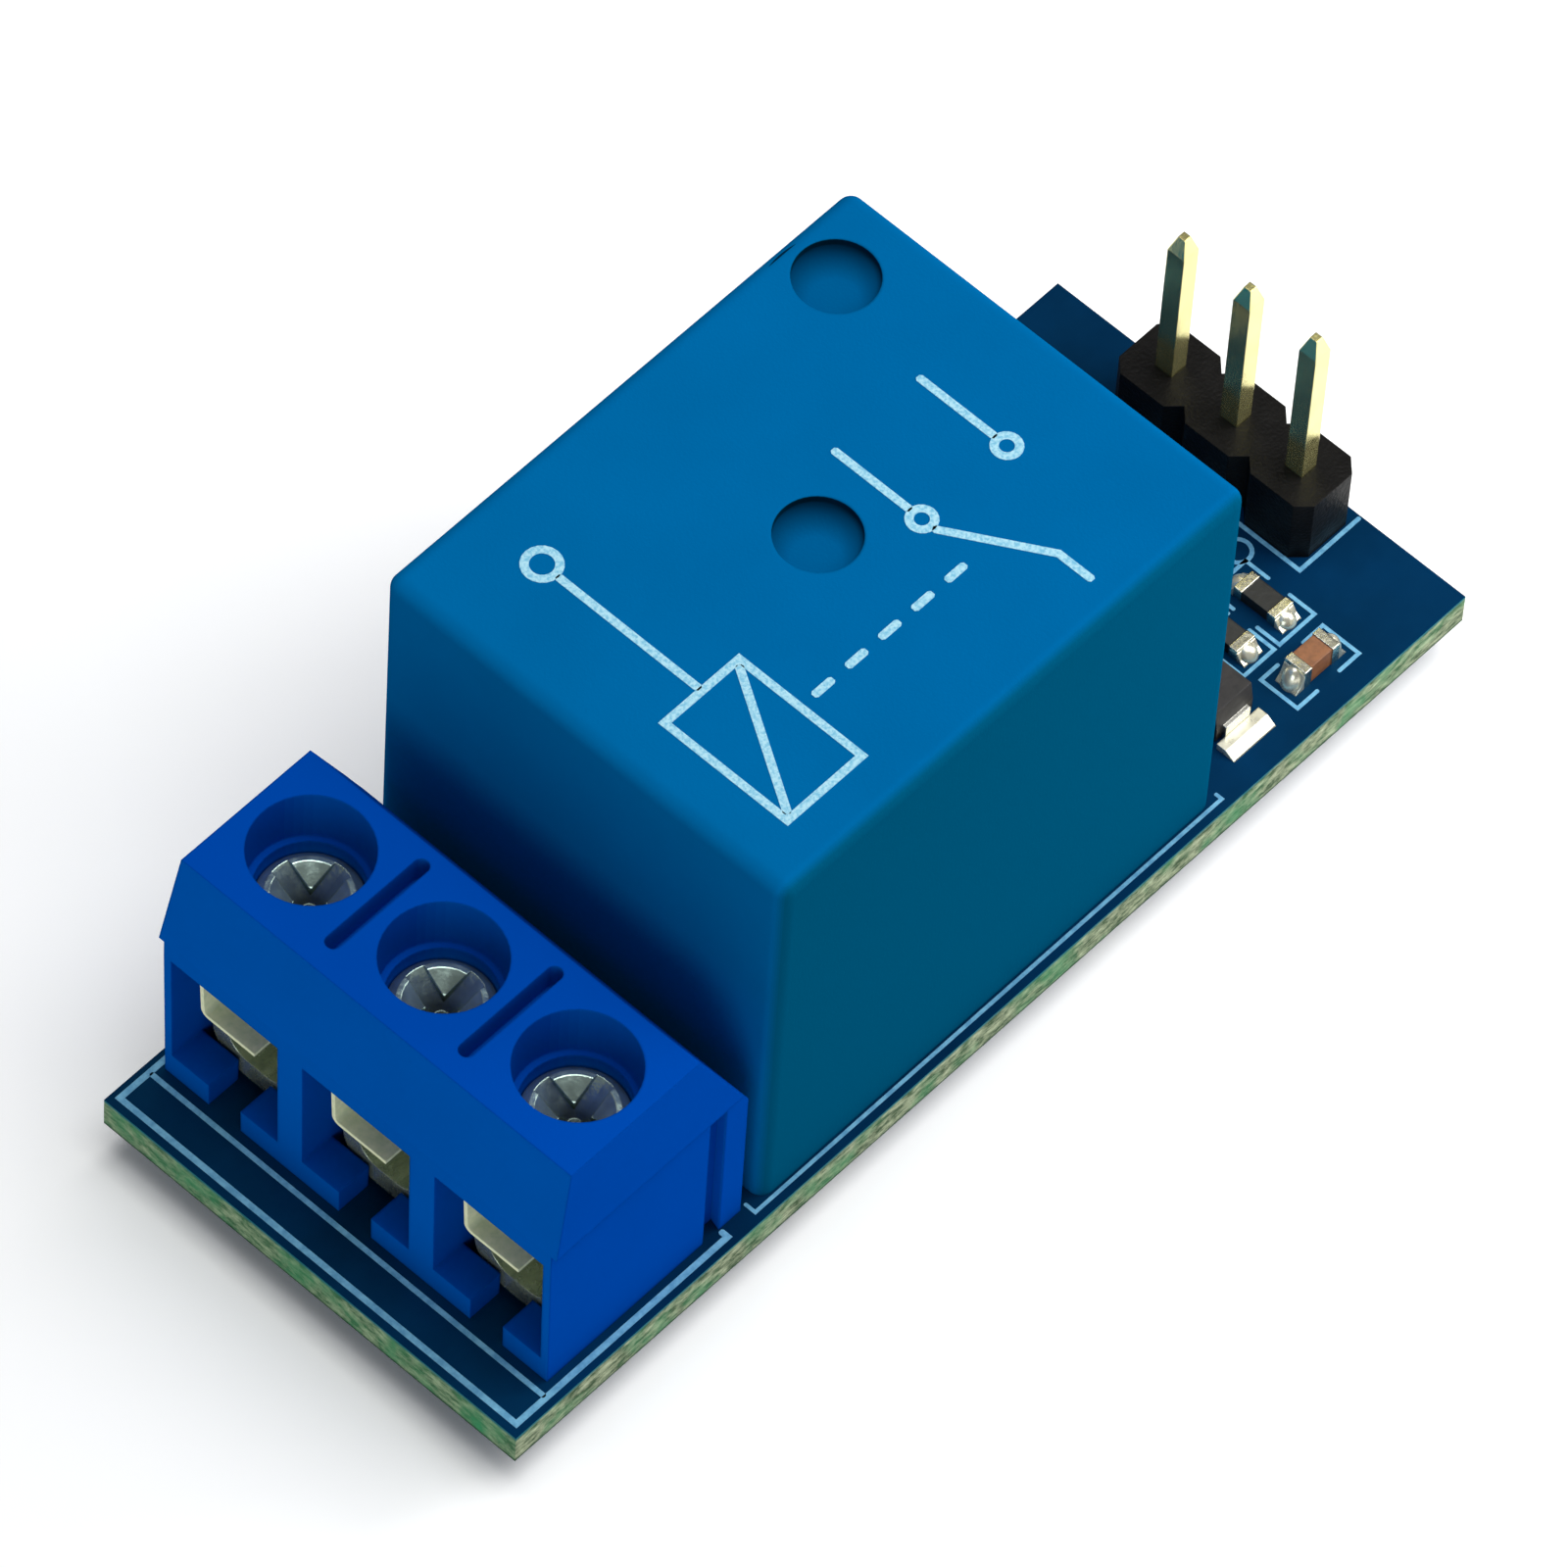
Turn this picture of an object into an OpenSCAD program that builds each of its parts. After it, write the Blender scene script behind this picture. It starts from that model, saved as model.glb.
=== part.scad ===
// Single-channel relay module: circuit board, rising-cage screw terminal,
// sealed sugar-cube relay, three-pin header and the small parts that drive it.
// +X runs along the board from the terminal to the header, +Y to the left, +Z up.
// The origin is the middle of the board's plan, level with the trimmed lead ends.

/* [Board] */
// Thickness of the circuit board
board_t = 1.2; // [0.8:0.1:2]
// Board showing in front of the terminal block
front_margin = 1.85; // [0.6:0.05:5]
// Board showing beside the terminal block
side_margin = 0.38; // [0.36:0.01:3]
// Length of board kept for the small parts between relay and header
parts_zone = 7.9; // [7.6:0.1:20]
// Board left beyond the header
header_margin = 0.1; // [0:0.05:5]
// Length of the trimmed leads below the board
tail_h = 1.4; // [1:0.1:3]
// Clearance between a lead and the wall of its drilled hole
hole_clear = 0.15; // [0.05:0.01:0.4]
// Height of the solder cone round each lead
solder_h = 0.85; // [0.3:0.05:0.95]
// Radius of the solder cone on the board
solder_r = 0.95; // [0.85:0.05:1.2]

/* [Terminal housing] */
// Distance between neighbouring wire ways
pitch = 5.08; // [5:0.01:7.62]
// Height of the housing above the board
term_h = 10; // [9.4:0.1:14]
// Depth of the housing from front to back
term_depth = 8; // [7.8:0.05:12]
// Offset of the housing to the left of the board's middle
term_y = 0.08; // [0:0.01:0.3]
// Height of the waist line above which the housing narrows
waist_h = 6.6; // [6:0.1:8]
// Height of the lower edge of the sloping back
back_waist_h = 5.8; // [5:0.1:8]
// How far the front leans back above the waist
front_slope = 0.65; // [0:0.05:1.2]
// How far the front is drawn in at the foot
front_draft = 0.1; // [0:0.01:0.5]
// How far the back leans in above its waist
back_slope = 2.2; // [0:0.1:2.6]
// How far each end leans in above the waist
end_slope = 0.2; // [0:0.01:0.4]
// How far each end is set in below the waist
end_inset = 0.2; // [0:0.01:0.25]
// Thickness of the walls between the wire ways
way_wall = 0.95; // [0.6:0.05:1.1]
// Thickness of the ledges at the foot of each wire way
ledge_t = 1; // [0.5:0.05:1.5]
// Width of the notch between the two ledges
notch_w = 1.25; // [0.8:0.05:2]
// Radius of the screwdriver holes
driver_r = 1.85; // [1.8:0.01:2.2]
// Depth of the wide mouth of the screwdriver holes
driver_mouth = 2; // [0.5:0.1:2.1]
// Thickness of the web that carries each screw head
web_t = 0.8; // [0.4:0.05:1.2]
// Length of the slots in the top between the ways
top_slot_l = 4; // [2:0.1:4.6]
// Width of the slots in the top
top_slot_w = 0.5; // [0.3:0.05:0.8]
// Depth of the slots in the top
top_slot_d = 1; // [0.3:0.1:2]
// Width of the dovetail groove and tongue at the ends
dovetail_w = 0.65; // [0.5:0.05:0.8]
// Depth of the dovetail groove
dovetail_d = 0.4; // [0.2:0.01:0.45]
// Flare of the dovetail on each side
dovetail_flare = 0.12; // [0:0.01:0.15]
// Height of the dovetail groove and tongue
dovetail_h = 6.2; // [3:0.1:6.5]
// Distance from the back of the housing to the middle of the dovetail
dovetail_in = 1.225; // [1.1:0.005:1.35]
// Clearance between a tongue and the groove of a neighbouring block
dovetail_clear = 0.1; // [0.05:0.01:0.15]

/* [Terminal metalwork] */
// Distance from the front of the housing to the screw axis
screw_in = 3.4; // [3.3:0.05:4]
// Radius of the screw head
head_r = 1.6; // [1.5:0.01:1.7]
// Thickness of the screw head
head_t = 1.1; // [0.9:0.05:1.4]
// Rounding of the head's top edge
head_round = 0.3; // [0.1:0.05:0.5]
// Radius of the screw shank over its thread
shank_r = 1; // [0.8:0.01:1.05]
// Width of the cross recess
recess_w = 0.62; // [0.4:0.01:0.8]
// Length of the cross recess
recess_l = 2.65; // [1.8:0.05:2.8]
// Depth of the cross recess at its middle
recess_d = 0.85; // [0.5:0.05:0.9]
// Radius of the cross recess at its bottom
recess_floor_r = 0.25; // [0.15:0.01:0.35]
// Radius of the dish round the recess, at the head's face
dish_r = 1.15; // [0.9:0.05:1.3]
// Radius of the dish at its bottom
dish_floor_r = 0.5; // [0.4:0.05:0.8]
// Depth of the dish
dish_d = 0.4; // [0.2:0.05:0.5]
// Play between screw head and bore wall at the foot of the hole
head_play = 0.05; // [0.03:0.01:0.1]
// Length of the clamping cage from front to back
cage_l = 4; // [3.4:0.05:4.1]
// Thickness of the cage's sides
cage_side = 0.6; // [0.4:0.01:0.7]
// Thickness of the cage's rounded floor
cage_floor = 0.8; // [0.5:0.05:0.9]
// Thickness of the cage's threaded top
cage_top = 1; // [0.8:0.05:1.2]
// Length of the threaded strap at the top of the cage
strap_l = 2.6; // [2.5:0.05:2.8]
// Radius of the corners inside the cage
cage_round = 0.8; // [0.3:0.05:1.1]
// Height of the lowered cage above the board
cage_rise = 0.25; // [0.1:0.05:0.5]
// Lift of the cage from open to clamped
cage_travel = 1.35; // [0.9:0.05:1.5]
// Height of the open wire mouth between cage floor and contact bar
wire_h = 2.35; // [2:0.05:2.5]
// Width of the contact bar
bar_w = 2.1; // [1.8:0.05:2.3]
// Thickness of the contact bar
bar_t = 0.8; // [0.6:0.05:1]
// Height of the contact bar's turned-up front lip
lip_h = 1.7; // [1:0.05:1.9]
// Thickness of the contact's solder leg
leg_t = 0.7; // [0.5:0.05:0.9]
// Width of the contact's solder pin
leg_pin_w = 1; // [0.8:0.05:1.4]
// Running clearance between sliding pieces of the clamp
slip = 0.1; // [0.06:0.01:0.15]
// Running clearance of the screw shank in the cage's thread
thread_clear = 0.05; // [0.02:0.01:0.08]

/* [Relay case and base] */
// Gap between terminal block and relay
relay_gap = 0.65; // [0.1:0.05:3]
// Length of the relay case
relay_l = 19; // [18.6:0.1:22]
// Width of the relay case
relay_w = 15.1; // [15:0.1:16]
// Height of the relay case
relay_h = 15.4; // [15.2:0.1:18]
// Wall thickness of the relay case
case_wall = 0.8; // [0.5:0.05:0.85]
// Rounding of the relay case's outer edges
case_round = 0.45; // [0.2:0.05:0.7]
// Radius of the two gate dimples in the case's top
dimple_r = 1.3; // [0.8:0.05:1.6]
// Depth of the gate dimples
dimple_d = 0.25; // [0.1:0.05:0.4]
// Distance of the corner dimple from the case's end
dimple_in_x = 2.65; // [2:0.05:4]
// Distance of the corner dimple from the case's side
dimple_in_y = 1.9; // [1.7:0.05:4]
// Height of the base plate's underside above the board
base_rise = 0.4; // [0.1:0.05:0.8]
// Thickness of the base plate
base_t = 1; // [0.8:0.05:1.5]
// Fitting gap round the base plate
base_clear = 0.05; // [0.02:0.01:0.1]

/* [Relay leads] */
// Distance of the contact leads from the other end of the case
contact_in = 2.5; // [2.2:0.05:2.6]
// Distance of the common lead from the end of the case
common_in = 2.3; // [2.2:0.05:2.6]
// Distance from the common lead back to the coil leads
coil_lead_back = 2; // [1.8:0.05:2.2]
// Distance of the outer leads from the side of the case
lead_in = 1.55; // [1.45:0.05:1.65]
// Width of the flat contact leads
flat_w = 1; // [0.8:0.05:1.2]
// Thickness of the flat contact leads
flat_t = 0.5; // [0.3:0.05:0.6]
// Radius of the round coil leads
coil_lead_r = 0.3; // [0.25:0.01:0.4]
// Height of the coil leads above the bobbin's lugs
coil_lead_up = 0.7; // [0.3:0.05:1.5]

/* [Relay magnet] */
// Distance from the yoke's outer face to the coil's axis
coil_back = 5.5; // [5.4:0.05:5.6]
// Radius of the iron core
core_r = 2; // [1.5:0.05:2.2]
// Radius of the core's pole face
pole_r = 3.1; // [2.8:0.05:4]
// Thickness of the core's pole face
pole_t = 0.85; // [0.5:0.05:1.2]
// Wall of the bobbin's tube
tube_wall = 0.5; // [0.4:0.05:0.7]
// Thickness of the bobbin's flanges
flange_t = 0.8; // [0.5:0.05:1]
// Length of the bobbin's flanges
flange_l = 8.6; // [8.2:0.05:8.8]
// Width of the bobbin's flanges
flange_w = 10; // [9:0.1:10.4]
// Length of the lugs that hold the coil leads
lug_l = 1.6; // [1.2:0.05:1.8]
// Plastic left outside each coil lead
lug_wall = 0.35; // [0.2:0.05:0.4]
// Outer radius of the winding
winding_r = 4; // [3.2:0.05:4.1]
// Thickness of the yoke
yoke_t = 1; // [0.8:0.05:1.1]
// Width of the yoke
yoke_w = 9; // [7:0.1:9.6]
// Setting of the yoke's outer face beyond the common lead
yoke_set = 0.6; // [0.5:0.05:0.65]
// Running clearance of bore fits round the core
core_clear = 0.05; // [0.02:0.01:0.1]

/* [Relay switching parts] */
// Thickness of the armature
armature_t = 1; // [0.8:0.05:1.2]
// Width of the armature
armature_w = 8; // [6:0.1:9]
// Length of the armature from its hinge edge
armature_l = 10.4; // [9:0.1:11]
// Angle by which the released armature stands open
open_deg = 3; // [2:0.1:3.2]
// Gap left between closed armature and pole face
pole_gap = 0.05; // [0.03:0.01:0.15]
// Thickness of the leaf that carries the moving contact
leaf_t = 0.2; // [0.15:0.01:0.3]
// Width of the leaf over the armature
leaf_w = 5; // [4:0.1:6]
// Width of the leaf's free end
leaf_tip_w = 2.6; // [2.2:0.1:3]
// Height of the leaf's tail behind the yoke
leaf_tail = 2.5; // [1:0.1:3]
// Distance from the contact leads to the contact rivets
contact_shift = 0.4; // [0.3:0.05:0.5]
// Radius of the contact rivets
rivet_r = 0.9; // [0.7:0.05:1]
// Height of a contact rivet's head
rivet_h = 0.35; // [0.2:0.05:0.4]
// Thickness of the fixed contact arms
arm_t = 0.4; // [0.3:0.05:0.5]
// Width of the fixed contact arms
arm_w = 1.8; // [1.6:0.05:2]
// Gap that keeps neighbouring contacts from touching
contact_gap = 0.03; // [0.02:0.01:0.08]
// Room between the upper contact arm and the top of the case
top_room = 0.47; // [0.3:0.01:1]

/* [Header] */
// Distance between neighbouring header pins
header_pitch = 2.54; // [2:0.01:2.6]
// Width of the header's plastic
header_w = 2.5; // [2.2:0.05:2.6]
// Height of the header's plastic
header_h = 2.54; // [2.3:0.01:3]
// Chamfer at the corners of each header cell
header_chamfer = 0.43; // [0.2:0.01:0.6]
// Side of the square header pins
pin_side = 0.64; // [0.5:0.01:0.7]
// Height of the header pins above the plastic
pin_up = 6.3; // [5:0.1:8]
// Length of the tapered tip of a header pin
pin_tip = 0.6; // [0.3:0.05:1]
// Side of the flat end of a header pin
pin_end = 0.26; // [0.2:0.01:0.4]

/* [Small parts] */
// Length of a chip resistor
chip_l = 1.6; // [1.2:0.05:2]
// Length of the chip capacitor
capacitor_l = 1.5; // [1.2:0.05:1.8]
// Width of a chip resistor or capacitor
chip_w = 0.8; // [0.5:0.01:1.1]
// Height of a chip resistor
resistor_t = 0.45; // [0.3:0.01:0.6]
// Height of the chip capacitor
capacitor_t = 0.8; // [0.5:0.05:1.1]
// Length of a chip's plated ends
chip_cap = 0.3; // [0.2:0.05:0.45]
// Thickness of a chip's plating
plating = 0.03; // [0.02:0.01:0.08]
// Gap between the two resistors
chip_space = 0.86; // [0.4:0.01:1]
// Gap between the resistors and the capacitor beside them
row_space = 1.27; // [0.9:0.01:1.4]
// Offset of the capacitor towards the header
capacitor_shift = 0.15; // [0:0.01:0.5]
// Distance of the resistors' middle from the board's middle line
chip_row_y = 3.95; // [3.8:0.05:4]
// Gap between relay case and diode
diode_gap = 1.56; // [0.5:0.01:1.7]
// Gap between diode and nearest resistor
diode_space = 1; // [0.3:0.05:1.2]
// Length of the diode's body
diode_l = 2.8; // [2.4:0.05:3]
// Width of the diode's body
diode_w = 1.56; // [1.3:0.01:1.8]
// Height of the diode's body
diode_h = 1.35; // [1.1:0.05:1.6]
// Gap between the diode's body and the board
diode_seat = 0.1; // [0.05:0.01:0.2]
// Slope of the diode's ends above their middle
diode_draft = 0.12; // [0.05:0.01:0.2]
// Width of the diode's leads
diode_lead_w = 1.05; // [0.6:0.05:1.2]
// Thickness of the diode's leads
diode_lead_t = 0.15; // [0.1:0.01:0.2]
// Height of the diode's leads on the ends of the body
diode_lead_h = 0.65; // [0.4:0.05:0.8]
// Reach of the diode's feet beyond the body
diode_reach = 0.5; // [0.3:0.05:0.6]
// Distance of the diode's middle from the board's middle line
diode_y = 4.85; // [4.6:0.05:5]
// Length of the transistor's body
sot_l = 2.9; // [2.8:0.05:3.1]
// Width of the transistor's body
sot_w = 1.3; // [1.2:0.05:1.5]
// Height of the transistor's body
sot_h = 1; // [0.8:0.05:1.2]
// Width of the transistor's leads
sot_lead_w = 0.4; // [0.3:0.01:0.5]
// Thickness of the transistor's leads
sot_lead_t = 0.15; // [0.1:0.01:0.2]
// Reach of the transistor's leads beyond its body
sot_reach = 0.55; // [0.4:0.05:0.7]
// Distance between the paired leads of the transistor
sot_pitch = 1.9; // [1.8:0.05:2]
// Distance of the transistor's middle from the board's middle line
sot_y = 3.4; // [2:0.1:5]
// Length of the solder fillet at the foot of a chip
fillet_l = 0.35; // [0.2:0.01:0.36]
// Width of the diode's solder pads
diode_pad_w = 1.8; // [1.4:0.05:1.9]
// Length of the diode's solder pads beyond its feet
diode_pad_l = 0.35; // [0.1:0.05:0.4]

/* [Hidden] */
$fn = 48;

ways = 3;
pins = 3;
eps = 0.01;
big = 100;
// Rest angles of the three screw recesses
screw_turns = [2, -9, -4];

// Plan of the board
term_w = ways * pitch;
board_l = front_margin + term_depth + relay_gap + relay_l + parts_zone
    + header_w + header_margin;
board_w = max(term_w, relay_w) + 2 * side_margin;
board_top = tail_h + board_t;

// Terminal block, heights above the board
term_x = -board_l / 2 + front_margin;
term_back = term_x + term_depth;
screw_x = term_x + screw_in;
mouth_z = cage_rise + cage_floor;
bar_z = mouth_z + wire_h;
cage_in_z = bar_z + bar_t + slip;
cage_top_z = cage_in_z + cage_top;
shoulder_z = cage_top_z + cage_travel + slip / 2;
ceiling_z = shoulder_z - web_t;
head_z = shoulder_z + head_t;
bore_r = head_r + head_play;
way_w = pitch - way_wall;
cage_in_w = bar_w + 2 * slip;
cage_w = cage_in_w + 2 * cage_side;
cage_x0 = screw_x - cage_l / 2;
cage_x1 = screw_x + cage_l / 2;
leg_x0 = cage_x1 + slip;
chamber_x1 = leg_x0 + leg_t;
lip_x1 = cage_x0 - slip;
lip_x0 = lip_x1 - bar_t;
leg_x = leg_x0 + leg_t / 2;
dovetail_x = term_back - dovetail_in;

// Relay, heights above the board
relay_x0 = term_back + relay_gap;
relay_x1 = relay_x0 + relay_l;
relay_x = (relay_x0 + relay_x1) / 2;
base_top = base_rise + base_t;
common_x = relay_x1 - common_in;
coil_lead_x = common_x - coil_lead_back;
contact_lead_x = relay_x0 + contact_in;
lead_half = relay_w / 2 - lead_in;
yoke_x = common_x + yoke_set;
coil_x = yoke_x - coil_back;
contact_x = contact_lead_x + contact_shift;
contact_reach = yoke_x - contact_x;
tip_rise = (contact_reach + rivet_r) * sin(open_deg);
// Height of the switching parts above the core's pole face
switch_h = pole_gap + armature_t + leaf_t + rivet_h + tip_rise + contact_gap + rivet_h + arm_t;
bobbin_z = base_top + yoke_t;
winding_z = bobbin_z + flange_t;
winding_h = relay_h - case_wall - top_room - switch_h - pole_t - flange_t - winding_z;
pole_z = winding_z + winding_h + flange_t;
yoke_top = pole_z + pole_t + pole_gap;
leaf_z = yoke_top + armature_t;
moving_low = leaf_z - rivet_h;
moving_high = leaf_z + leaf_t + rivet_h;
no_rivet_z = moving_low - contact_gap;
nc_rivet_z = leaf_z + leaf_t + rivet_h + tip_rise + contact_gap;

// Header
header_x0 = relay_x1 + parts_zone;
header_x = header_x0 + header_w / 2;

// Small parts
diode_x = relay_x1 + diode_gap + diode_w / 2;
resistor_2_x = diode_x + diode_w / 2 + diode_space + chip_w / 2;
resistor_1_x = resistor_2_x + chip_w + chip_space;
capacitor_x = (resistor_1_x + resistor_2_x) / 2 + capacitor_shift;
capacitor_y = chip_row_y + chip_l / 2 + row_space + chip_w / 2;
sot_x = diode_x + sot_w / 2;

function way_y(i) = term_y + (i - (ways + 1) / 2) * pitch;
function pin_y(i) = (i - (pins + 1) / 2) * header_pitch;

housing_blue = "#0050c0";
case_blue = "#00629f";
tin = "#c9c7b4";
zinc = "#b9c0c0";
gold = "#d8c878";
iron = "#8f9398";
copper = "#b5622c";
bronze = "#c08a4a";
solder_grey = "#c8cbcc";

// ---------- shared shapes ----------

module on_board() translate([0, 0, board_top]) children();

// Extrudes an outline drawn in X and Z along Y, centred on Y = 0
module along_y(width) rotate([90, 0, 0]) linear_extrude(width, center = true) children();

// Extrudes an outline drawn in Y and Z along X, from X = 0
module along_x(length) rotate([90, 0, 90]) linear_extrude(length) children();

module block(x0, x1, w, z0, z1) translate([x0, -w / 2, z0]) cube([x1 - x0, w, z1 - z0]);

// Rectangle standing on the axis with its lower corners rounded
module cup_outline(w, z0, z1, r) {
    translate([-w / 2, z0 + r]) square([w, z1 - z0 - r]);
    translate([-w / 2 + r, z0]) square([w - 2 * r, r + eps]);
    for (s = [-1, 1]) translate([s * (w / 2 - r), z0 + r]) circle(r);
}

module rounded_plate(l, w, r) {
    square([l, w - 2 * r], center = true);
    square([l - 2 * r, w], center = true);
    for (i = [-1, 1], j = [-1, 1]) translate([i * (l / 2 - r), j * (w / 2 - r)]) circle(r);
}

// Outline of a square bar with tapered ends, drawn in one side view
module needle_outline(side, z0, z1) polygon([
    [-pin_end / 2, z0], [pin_end / 2, z0], [side / 2, z0 + pin_tip], [side / 2, z1 - pin_tip],
    [pin_end / 2, z1], [-pin_end / 2, z1], [-side / 2, z1 - pin_tip], [-side / 2, z0 + pin_tip]]);

// ---------- circuit board ----------

module lead_places() {
    for (i = [1 : ways]) translate([leg_x, way_y(i)]) children(0);
    translate([common_x, 0]) children(1);
    for (s = [-1, 1]) translate([contact_lead_x, s * lead_half]) children(2);
    for (s = [-1, 1]) translate([coil_lead_x, s * lead_half]) children(3);
    for (i = [1 : pins]) translate([header_x, pin_y(i)]) children(4);
}

function half_diagonal(a, b) = sqrt(a * a + b * b) / 2;
leg_hole_r = half_diagonal(leg_t, leg_pin_w) + hole_clear;
flat_hole_r = half_diagonal(flat_w, flat_t) + hole_clear;
coil_hole_r = coil_lead_r + hole_clear;
pin_hole_r = half_diagonal(pin_side, pin_side) + hole_clear;

module drill(r) translate([0, 0, tail_h - 1]) cylinder(board_t + 2, r, r);

module circuit_board() color("#0b2f5c") difference() {
    translate([-board_l / 2, -board_w / 2, tail_h]) cube([board_l, board_w, board_t]);
    lead_places() {
        drill(leg_hole_r);
        drill(flat_hole_r);
        drill(flat_hole_r);
        drill(coil_hole_r);
        drill(pin_hole_r);
    }
}

// ---------- terminal block ----------

module housing_profile() polygon([
    [term_x + front_draft, 0], [term_x, ceiling_z], [term_x, waist_h],
    [term_x + front_slope, term_h], [term_back - back_slope, term_h],
    [term_back, back_waist_h], [term_back, 0]]);

// Wedge taken off one end above the waist; side is -1 or 1
module end_wedge(side) {
    lean = atan(end_slope / (term_h - waist_h));
    translate([0, side * term_w / 2, waist_h]) rotate([side * lean, 0, 0])
        translate([-big / 2, side > 0 ? 0 : -big, 0]) cube([big, big, big]);
}

// Slice taken off one end below the waist
module end_panel(side) translate([-big / 2, side > 0 ? term_w / 2 - end_inset : end_inset - term_w / 2 - big, -1])
    cube([big, big, waist_h + 1]);

module dovetail(w, d) polygon([
    [-w / 2, -eps], [w / 2, -eps], [w / 2 + dovetail_flare, d], [-w / 2 - dovetail_flare, d]]);

module wire_way() {
    block(term_x - 1, chamber_x1, way_w, ledge_t, ceiling_z);
    block(lip_x1, chamber_x1, way_w, -1, ledge_t + eps);
    block(term_x - 1, lip_x1 + eps, notch_w, -1, ledge_t + eps);
}

module screw_way() translate([screw_x, 0, 0]) {
    translate([0, 0, shoulder_z]) cylinder(term_h, bore_r, bore_r);
    translate([0, 0, term_h - driver_mouth]) cylinder(driver_mouth + 1, driver_r, driver_r);
    block(-strap_l / 2 - slip, strap_l / 2 + slip, cage_w + 2 * slip, ceiling_z - eps, shoulder_z + eps);
}

module top_slot() translate([screw_x, 0, term_h - top_slot_d]) linear_extrude(top_slot_d + 1) {
    square([top_slot_l - top_slot_w, top_slot_w], center = true);
    for (s = [-1, 1]) translate([s * (top_slot_l - top_slot_w) / 2, 0]) circle(top_slot_w / 2);
}

module terminal_housing() color(housing_blue) on_board() translate([0, term_y, 0]) {
    difference() {
        along_y(term_w) housing_profile();
        for (side = [-1, 1]) {
            end_wedge(side);
            end_panel(side);
        }
        for (i = [1 : ways]) translate([0, way_y(i) - term_y, 0]) {
            wire_way();
            screw_way();
        }
        for (i = [1 : ways - 1]) translate([0, (way_y(i) + way_y(i + 1)) / 2 - term_y, 0]) top_slot();
        translate([dovetail_x, end_inset - term_w / 2, -1]) linear_extrude(dovetail_h + 1)
            dovetail(dovetail_w, dovetail_d);
    }
    translate([dovetail_x, term_w / 2 - end_inset, 0]) linear_extrude(dovetail_h - dovetail_clear)
        dovetail(dovetail_w - 2 * dovetail_clear - dovetail_flare, dovetail_d - dovetail_clear);
}

module terminal_contact(i) color(tin) on_board() translate([0, way_y(i), 0]) {
    difference() {
        translate([lip_x0, 0, 0]) along_x(chamber_x1 - lip_x0)
            cup_outline(bar_w, bar_z, bar_z + lip_h, bar_t / 2);
        block(lip_x1, chamber_x1 + 1, bar_w + 1, bar_z + bar_t, bar_z + lip_h + 1);
    }
    block(leg_x0, chamber_x1, bar_w, 0, bar_z + bar_t / 2);
    block(leg_x0, chamber_x1, leg_pin_w, -board_top, eps);
}

module terminal_cage(i) color(zinc) on_board() translate([screw_x, way_y(i), 0]) difference() {
    translate([-cage_l / 2, 0, 0]) along_x(cage_l) difference() {
        cup_outline(cage_w, cage_rise, cage_top_z, cage_round + cage_side);
        cup_outline(cage_in_w, mouth_z, cage_in_z, cage_round);
    }
    for (s = [-1, 1]) translate([s * (cage_l + strap_l) / 2, 0, cage_in_z + cage_l / 2])
        cube([cage_l, cage_w + 1, cage_l], center = true);
    cylinder(cage_top_z + 1, shank_r + thread_clear, shank_r + thread_clear);
}

// Cross recess whose wings run out of a conical dish
module screw_recess() {
    translate([0, 0, head_z - dish_d]) cylinder(dish_d + eps, dish_floor_r, dish_r);
    translate([0, 0, head_z - recess_d]) intersection() {
        cylinder(recess_d + eps, recess_floor_r, recess_l / 2);
        for (a = [0, 90]) rotate(a) translate([-recess_l / 2, -recess_w / 2, -eps])
            cube([recess_l, recess_w, recess_d + 1]);
    }
}

module terminal_screw(i) color(zinc) on_board() translate([screw_x, way_y(i), 0])
    rotate(screw_turns[i - 1]) difference() {
        union() {
            translate([0, 0, shoulder_z]) cylinder(head_t - head_round, head_r, head_r);
            translate([0, 0, head_z - head_round])
                cylinder(head_round, head_r, head_r - head_round);
            translate([0, 0, bar_z + bar_t + slip]) cylinder(shoulder_z - bar_z - bar_t, shank_r, shank_r);
        }
        screw_recess();
    }

// ---------- relay ----------

module soft_box(l, w, h, r) {
    linear_extrude(h - r) rounded_plate(l, w, r);
    translate([0, 0, h - r - eps]) linear_extrude(r + eps) square([l - 2 * r, w - 2 * r], center = true);
    for (s = [-1, 1]) {
        translate([0, s * (w / 2 - r), h - r]) rotate([0, 90, 0]) cylinder(l - 2 * r, r, r, center = true);
        translate([s * (l / 2 - r), 0, h - r]) rotate([90, 0, 0]) cylinder(w - 2 * r, r, r, center = true);
        for (t = [-1, 1]) translate([s * (l / 2 - r), t * (w / 2 - r), h - r]) sphere(r);
    }
}

module relay_case() color(case_blue) on_board() translate([relay_x, 0, 0]) difference() {
    soft_box(relay_l, relay_w, relay_h, case_round);
    translate([0, 0, -1]) linear_extrude(relay_h - case_wall + 1)
        square([relay_l - 2 * case_wall, relay_w - 2 * case_wall], center = true);
    translate([0, 0, relay_h - dimple_d]) cylinder(dimple_d + 1, dimple_r, dimple_r);
    translate([relay_l / 2 - dimple_in_x, relay_w / 2 - dimple_in_y, relay_h - dimple_d])
        cylinder(dimple_d + 1, dimple_r, dimple_r);
}

module flat_slot() cube([flat_w, flat_t, big], center = true);
module common_slot() cube([flat_t, flat_w, big], center = true);
module round_slot() cylinder(big, coil_lead_r, coil_lead_r, center = true);

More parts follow.
